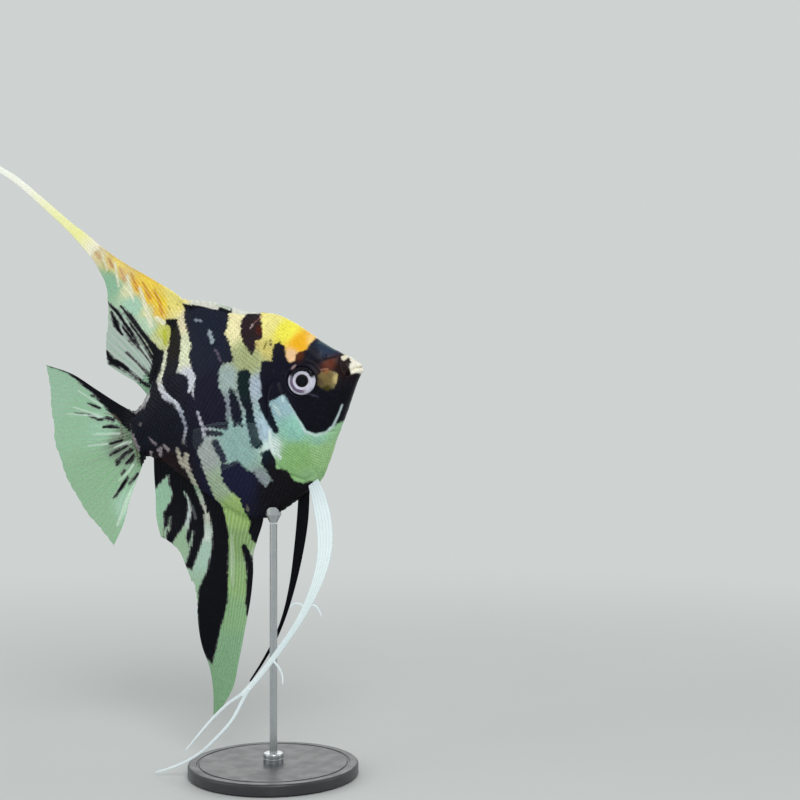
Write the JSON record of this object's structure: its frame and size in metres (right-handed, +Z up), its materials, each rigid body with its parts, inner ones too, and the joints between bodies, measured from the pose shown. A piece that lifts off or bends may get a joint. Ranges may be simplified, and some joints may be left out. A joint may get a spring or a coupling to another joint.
{
  "type": "freshwater angelfish",
  "caption": "Life-size still angelfish with tall swept fins and long streamers, nose up in mid-swim, held by a rod on a round display base.",
  "frame": {"origin": "centre of the underside of the round display base, under the rod", "axes": "+Z up along the rod, +X the way the fish swims, +Y to the fish's left"},
  "size_m": [0.1467, 0.054, 0.2068],
  "materials": {
    "skin_dark": "satin, near-black with a faint blue sheen",
    "skin_pale": "satin, pearly teal-white",
    "lip": "satin cream",
    "eye": "glossy, silver ring round a dark pupil",
    "fin_gold": "satin membrane, gold running to clear",
    "fin_clear": "satin membrane, half clear",
    "fin_pale": "satin membrane, pale",
    "fin_black": "satin membrane, black",
    "fin_white": "satin ray, bluish white",
    "stand_paint": "satin charcoal paint",
    "stand_steel": "brushed"
  },
  "bodies": {
    "root": {"head": "skin_dark", "upper_lip": "lip", "lower_jaw": "lip", "gill_cover_right": "skin_pale", "gill_cover_left": "skin_pale", "eye_right": "eye", "eye_left": "eye", "trunk_front": "skin_dark", "trunk_rear": "skin_dark", "tail_stalk": "skin_dark", "dorsal_spines": "fin_black", "dorsal_fin": "fin_gold", "dorsal_streamer": "fin_gold", "anal_fin_front": "fin_pale", "anal_fin_middle": "fin_black", "anal_fin_rear": "fin_clear", "tail_fin_upper": "fin_clear", "tail_fin_middle": "fin_clear", "tail_fin_lower": "fin_clear", "pelvic_fin_right": "fin_white", "pelvic_streamer_right": "fin_white", "pelvic_strand_upper": "fin_white", "pelvic_strand_lower": "fin_white", "pelvic_fin_left": "fin_black", "pelvic_streamer_left": "fin_black", "pectoral_fin_right": "fin_clear", "pectoral_fin_left": "fin_clear", "stand_base": "stand_paint", "stand_collar": "stand_steel", "stand_rod": "stand_steel", "stand_saddle": "stand_steel"}
  },
  "joints": []
}
